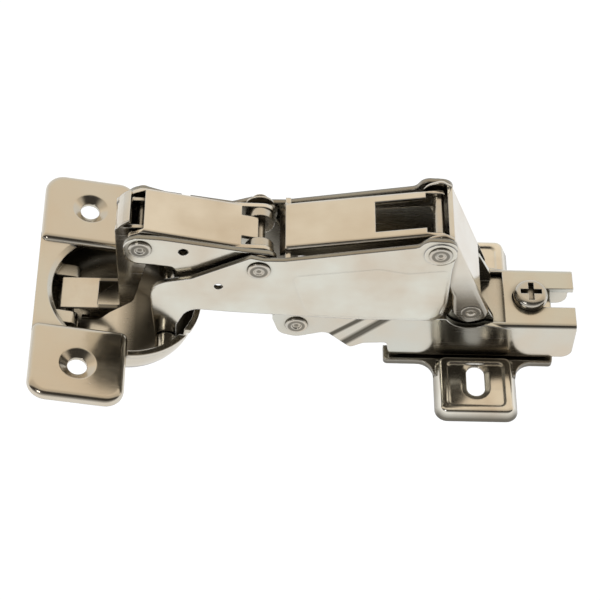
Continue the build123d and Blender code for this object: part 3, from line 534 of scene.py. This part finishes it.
def plated_material(name, colour, roughness, edge, bump, clouds, hollow_shade, reach, shade=None):
    """Bright plated metal; the share given for hollows is how much painted shade it takes in hollows
    within the reach.
    """
    finish, _ = settings()
    material = bpy.data.materials.new(name)
    material.use_nodes = True
    tree = material.node_tree
    shader = tree.nodes["Principled BSDF"]
    shader.inputs["Metallic"].default_value = 1.0
    place = tree.nodes.new("ShaderNodeTexCoord").outputs["Object"]
    surface = tree.nodes.new("ShaderNodeGroup")
    surface.node_tree = plated_group()
    link(tree, place, surface.inputs["Vector"])
    values = (
        ("Cloud Scale", clouds),
        ("Grain Scale", GRAIN_SCALE),
        ("Roughness", roughness),
        ("Roughness Spread", ROUGHNESS_SPREAD),
        ("Plate Colour", (*colour, 1.0)),
        ("Stain Colour", (*finish.stain, 1.0)),
        ("Recess Colour", (*finish.painted_shade_colour, 1.0)),
        ("Edge Colour", (*finish.rub, 1.0)),
    )
    for label, value in values:
        surface.inputs[label].default_value = value

    soft_edge = tree.nodes.new("ShaderNodeBevel")
    soft_edge.samples = MASK_SAMPLES
    soft_edge.inputs["Radius"].default_value = edge
    soft_normal = soft_edge.outputs["Normal"]
    link(tree, rubbed_edge(tree, soft_normal), surface.inputs["Edge"])

    # Painted shade: darkening in hollows and seams near other walls, plus the piece's own shade mask,
    # all carried by one mask
    hollow = product(tree, covered(tree, reach, HOLLOW_LIMITS), hollow_shade)
    seam = product(tree, covered(tree, finish.seam_shade_reach, SEAM_LIMITS), SEAM_SHARE)
    dull = math_node(tree, "MAXIMUM", hollow, seam)
    if shade:
        dull = math_node(tree, "MAXIMUM", dull, shade(tree, place))
    link(tree, dull, surface.inputs["Corner"])

    link(tree, surface.outputs["Colour"], shader.inputs["Base Color"])
    link(tree, surface.outputs["Roughness"], shader.inputs["Roughness"])
    relief = tree.nodes.new("ShaderNodeBump")
    relief.inputs["Strength"].default_value = bump
    relief.inputs["Distance"].default_value = RELIEF_DEPTH * MM
    link(tree, surface.outputs["Height"], relief.inputs["Height"])
    link(tree, soft_normal, relief.inputs["Normal"])
    link(tree, relief.outputs["Normal"], shader.inputs["Normal"])
    return material


def dress(names, material):
    """Gives CAD nodes a material in all their slots."""
    for name in names:
        node = NODES[name]
        if not node.material_slots:
            node.data.materials.append(material)
        for slot in node.material_slots:
            slot.material = material


class HINGE_OT_crank(bpy.types.Operator):
    """Finishes the crank's channel"""

    bl_idname = "hinge.crank"
    bl_label = "Finish Crank"

    def execute(self, context):
        finish, _ = settings()
        material = plated_material(
            "Nickel crank",
            finish.crank,
            finish.sheet_gloss,
            finish.bend_edge,
            bump=0.10,
            clouds=60.0,
            hollow_shade=0.9,
            reach=finish.hollow_shade_reach,
            shade=channel_shade,
        )
        dress(CRANK_NODES, material)
        return {"FINISHED"}


class HINGE_OT_cover(bpy.types.Operator):
    """Finishes the side lever's cover"""

    bl_idname = "hinge.cover"
    bl_label = "Finish Cover"

    def execute(self, context):
        finish, _ = settings()
        material = plated_material(
            "Nickel cover",
            finish.cover,
            finish.sheet_gloss,
            finish.bend_edge,
            bump=0.10,
            clouds=65.0,
            hollow_shade=0.9,
            reach=finish.hollow_shade_reach,
            shade=lip_shade,
        )
        dress(COVER_NODES, material)
        return {"FINISHED"}


class HINGE_OT_lever_plates(bpy.types.Operator):
    """Finishes the crank's and side lever's plates"""

    bl_idname = "hinge.lever_plates"
    bl_label = "Finish Lever Plates"

    def execute(self, context):
        finish, _ = settings()
        material = plated_material(
            "Nickel lever plates",
            finish.lever,
            finish.sheet_gloss,
            finish.drawn_edge,
            bump=0.12,
            clouds=75.0,
            hollow_shade=0.9,
            reach=finish.lever_reach,
            shade=cut_edge_shade,
        )
        dress(LEVER_PLATE_NODES, material)
        return {"FINISHED"}


class HINGE_OT_rear_link(bpy.types.Operator):
    """Finishes the rear link"""

    bl_idname = "hinge.rear_link"
    bl_label = "Finish Rear Link"

    def execute(self, context):
        finish, _ = settings()
        material = plated_material(
            "Nickel rear link",
            finish.link,
            finish.sheet_gloss,
            finish.bend_edge,
            bump=0.10,
            clouds=90.0,
            hollow_shade=0.9,
            reach=finish.hollow_shade_reach,
            shade=ankle_shade,
        )
        dress(REAR_LINK_NODES, material)
        return {"FINISHED"}


class HINGE_OT_cup_link(bpy.types.Operator):
    """Finishes the cup link"""

    bl_idname = "hinge.cup_link"
    bl_label = "Finish Cup Link"

    def execute(self, context):
        finish, _ = settings()
        material = plated_material(
            "Nickel cup link",
            finish.link,
            finish.sheet_gloss,
            finish.bend_edge,
            bump=0.10,
            clouds=90.0,
            hollow_shade=0.95,
            reach=finish.lever_reach,
            shade=fold_shade,
        )
        dress(CUP_LINK_NODES, material)
        return {"FINISHED"}


class HINGE_OT_arm(bpy.types.Operator):
    """Finishes the arm and its bracket"""

    bl_idname = "hinge.arm"
    bl_label = "Finish Arm"

    def execute(self, context):
        finish, _ = settings()
        material = plated_material(
            "Nickel arm",
            finish.arm,
            finish.sheet_gloss,
            finish.bend_edge,
            bump=0.14,
            clouds=70.0,
            hollow_shade=0.95,
            reach=finish.arm_reach,
            shade=arm_shade,
        )
        dress(ARM_NODES, material)
        return {"FINISHED"}


class HINGE_OT_plate(bpy.types.Operator):
    """Finishes the mounting plate"""

    bl_idname = "hinge.plate"
    bl_label = "Finish Plate"

    def execute(self, context):
        finish, _ = settings()
        material = plated_material(
            "Nickel plate",
            finish.plate,
            finish.sheet_gloss,
            finish.drawn_edge,
            bump=0.14,
            clouds=80.0,
            hollow_shade=0.2,
            reach=finish.hollow_shade_reach,
            shade=foot_shade,
        )
        dress(PLATE_NODES, material)
        return {"FINISHED"}


class HINGE_OT_cup(bpy.types.Operator):
    """Finishes the door cup"""

    bl_idname = "hinge.cup"
    bl_label = "Finish Cup"

    def execute(self, context):
        finish, _ = settings()
        material = plated_material(
            "Nickel cup",
            finish.cup,
            finish.sheet_gloss,
            finish.bend_edge,
            bump=0.12,
            clouds=45.0,
            hollow_shade=0.85,
            reach=finish.hollow_shade_reach,
            shade=bowl_shade,
        )
        dress(CUP_NODES, material)
        return {"FINISHED"}


class HINGE_OT_pins(bpy.types.Operator):
    """Finishes the rivets, pins and washers"""

    bl_idname = "hinge.pins"
    bl_label = "Finish Pins"

    def execute(self, context):
        finish, _ = settings()
        material = plated_material(
            "Nickel pins",
            finish.pin,
            finish.pin_gloss,
            finish.pin_edge,
            bump=0.10,
            clouds=300.0,
            hollow_shade=0.9,
            reach=finish.hollow_shade_reach,
            shade=rivet_shade,
        )
        dress(PIN_NODES, material)
        return {"FINISHED"}


class HINGE_OT_screw(bpy.types.Operator):
    """Finishes the fixing screw"""

    bl_idname = "hinge.screw"
    bl_label = "Finish Screw"

    def execute(self, context):
        finish, _ = settings()
        material = plated_material(
            "Nickel screw",
            finish.pin,
            finish.pin_gloss,
            finish.pin_edge,
            bump=0.12,
            clouds=200.0,
            hollow_shade=0.95,
            reach=finish.hollow_shade_reach,
        )
        dress(SCREW_NODES, material)
        return {"FINISHED"}


def photo_camera():
    """Camera from the fit to the photograph."""
    turn = math.radians(CAMERA_TURN)
    rise = math.radians(CAMERA_RISE)
    roll = math.radians(CAMERA_ROLL)
    right = Vector((math.cos(turn), math.sin(turn), 0.0))
    up = Vector((-math.sin(turn) * math.sin(rise), math.cos(turn) * math.sin(rise), math.cos(rise)))
    back = Vector((math.sin(turn) * math.cos(rise), -math.cos(turn) * math.cos(rise), math.sin(rise)))
    right, up = (
        right * math.cos(roll) + up * math.sin(roll),
        up * math.cos(roll) - right * math.sin(roll),
    )
    place = (back * CAMERA_DISTANCE - right * CAMERA_SIDE - up * CAMERA_UP) * MM
    data = bpy.data.cameras.new("Photo camera")
    data.lens = CAMERA_LENS
    data.sensor_width = CAMERA_SENSOR
    data.clip_start = CAMERA_CLIP_START
    data.clip_end = CAMERA_CLIP_END
    camera = bpy.data.objects.new("Photo camera", data)
    turned = Matrix((right, up, back)).transposed().to_4x4()
    camera.matrix_world = Matrix.Translation(place) @ turned
    bpy.context.scene.collection.objects.link(camera)
    bpy.context.scene.camera = camera


def tent_ramp(tree, share):
    """Colour ramp of the tent's sky."""
    ramp = tree.nodes.new("ShaderNodeValToRGB")
    stops = ramp.color_ramp.elements
    while len(stops) < len(TENT_STOPS):
        stops.new(0.5)
    for stop, (position, colour) in zip(stops, TENT_STOPS):
        stop.position = position
        stop.color = (*colour, 1.0)
    link(tree, share, ramp.inputs["Fac"])
    return ramp.outputs["Color"]


def studio_world():
    """White to the camera; pale at the back and dark over the front for the light on the part."""
    world = bpy.data.worlds.new("Studio")
    bpy.context.scene.world = world
    world.use_nodes = True
    tree = world.node_tree
    tree.nodes.clear()
    out = tree.nodes.new("ShaderNodeOutputWorld")
    white = tree.nodes.new("ShaderNodeBackground")
    white.inputs["Color"].default_value = (1.0, 1.0, 1.0, 1.0)
    tent = tree.nodes.new("ShaderNodeBackground")
    way = split_node(tree, tree.nodes.new("ShaderNodeTexCoord").outputs["Generated"])
    angle = math_node(tree, "ARCTAN2", way["Z"], way["Y"])
    share = math_node(tree, "DIVIDE", angle, math.pi)
    link(tree, tent_ramp(tree, share), tent.inputs["Color"])
    ray = tree.nodes.new("ShaderNodeLightPath")
    mix = tree.nodes.new("ShaderNodeMixShader")
    link(tree, ray.outputs["Is Camera Ray"], mix.inputs["Fac"])
    link(tree, tent.outputs["Background"], mix.inputs[1])
    link(tree, white.outputs["Background"], mix.inputs[2])
    link(tree, mix.outputs["Shader"], out.inputs["Surface"])


def floor_material():
    """White floor that keeps a soft shadow and shows white to the camera and in the metal."""
    _, stage = settings()
    material = bpy.data.materials.new("White floor")
    material.use_nodes = True
    tree = material.node_tree
    tree.nodes.clear()
    out = tree.nodes.new("ShaderNodeOutputMaterial")
    paper = tree.nodes.new("ShaderNodeBsdfDiffuse")
    paper.inputs["Color"].default_value = FLOOR_PAPER
    glow = tree.nodes.new("ShaderNodeEmission")
    glow.inputs["Strength"].default_value = stage.floor_glow
    ray = tree.nodes.new("ShaderNodeLightPath")
    seen = math_node(tree, "MAXIMUM", ray.outputs["Is Camera Ray"], ray.outputs["Is Glossy Ray"])
    seen = math_node(tree, "MAXIMUM", seen, ray.outputs["Is Transmission Ray"])
    nothing = tree.nodes.new("ShaderNodeEmission")
    nothing.inputs["Strength"].default_value = 0.0
    choose = tree.nodes.new("ShaderNodeMixShader")
    link(tree, seen, choose.inputs["Fac"])
    link(tree, nothing.outputs["Emission"], choose.inputs[1])
    link(tree, glow.outputs["Emission"], choose.inputs[2])
    both = tree.nodes.new("ShaderNodeAddShader")
    link(tree, paper.outputs["BSDF"], both.inputs[0])
    link(tree, choose.outputs["Shader"], both.inputs[1])
    link(tree, both.outputs["Shader"], out.inputs["Surface"])
    return material


def studio_floor():
    """Wide flat floor, not part of the hinge."""
    _, stage = settings()
    half = stage.floor_size / 2
    level = -stage.floor_drop
    corners = [(-half, -half, level), (half, -half, level), (half, half, level), (-half, half, level)]
    mesh = bpy.data.meshes.new("studio_floor")
    mesh.from_pydata(corners, [], [(0, 1, 2, 3)])
    mesh.materials.append(floor_material())
    floor = bpy.data.objects.new("studio_floor", mesh)
    bpy.context.scene.collection.objects.link(floor)


def soft_light(name, place, target, size, power):
    """Square soft box aimed at a point."""
    data = bpy.data.lights.new(name, "AREA")
    data.shape = "SQUARE"
    data.size = size
    data.energy = power
    lamp = bpy.data.objects.new(name, data)
    lamp.location = place
    aim = Vector(target) - Vector(place)
    lamp.rotation_euler = aim.to_track_quat("-Z", "Y").to_euler()
    bpy.context.scene.collection.objects.link(lamp)


class HINGE_OT_stage(bpy.types.Operator):
    """Makes the white floor, the studio light and the photograph's camera"""

    bl_idname = "hinge.stage"
    bl_label = "Set Up Stage"

    def execute(self, context):
        _, stage = settings()
        studio_floor()
        studio_world()
        soft_light("Front soft box", KEY_PLACE, KEY_AIM, KEY_SIZE, stage.key_power)
        photo_camera()
        context.scene.view_settings.view_transform = "Standard"
        return {"FINISHED"}


class HINGE_PT_panel(bpy.types.Panel):
    """Lists the hinge's steps and values"""

    bl_idname = "HINGE_PT_panel"
    bl_label = "Cabinet Hinge"
    bl_space_type = "VIEW_3D"
    bl_region_type = "UI"
    bl_category = "Hinge"

    def draw(self, context):
        layout = self.layout
        for operator in OPERATORS:
            layout.operator(operator.bl_idname)
        for group in settings():
            for key in group.bl_rna.properties.keys():
                if key not in {"rna_type", "name"}:
                    layout.prop(group, key)


OPERATORS = (
    HINGE_OT_crank,
    HINGE_OT_cover,
    HINGE_OT_lever_plates,
    HINGE_OT_rear_link,
    HINGE_OT_cup_link,
    HINGE_OT_arm,
    HINGE_OT_plate,
    HINGE_OT_cup,
    HINGE_OT_pins,
    HINGE_OT_screw,
    HINGE_OT_stage,
)
CLASSES = (HingeFinish, HingeStage, *OPERATORS, HINGE_PT_panel)


def register():
    """Registers the classes and gives the scene their values."""
    for cls in CLASSES:
        bpy.utils.register_class(cls)
    bpy.types.Scene.hinge_finish = bpy.props.PointerProperty(type=HingeFinish)
    bpy.types.Scene.hinge_stage = bpy.props.PointerProperty(type=HingeStage)


def unregister():
    """Takes the values and classes away again."""
    del bpy.types.Scene.hinge_stage
    del bpy.types.Scene.hinge_finish
    for cls in reversed(CLASSES):
        bpy.utils.unregister_class(cls)


def main():
    """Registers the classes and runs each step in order."""
    register()
    bpy.ops.hinge.crank()
    bpy.ops.hinge.cover()
    bpy.ops.hinge.lever_plates()
    bpy.ops.hinge.rear_link()
    bpy.ops.hinge.cup_link()
    bpy.ops.hinge.arm()
    bpy.ops.hinge.plate()
    bpy.ops.hinge.cup()
    bpy.ops.hinge.pins()
    bpy.ops.hinge.screw()
    bpy.ops.hinge.stage()


if __name__ == "__main__":
    main()
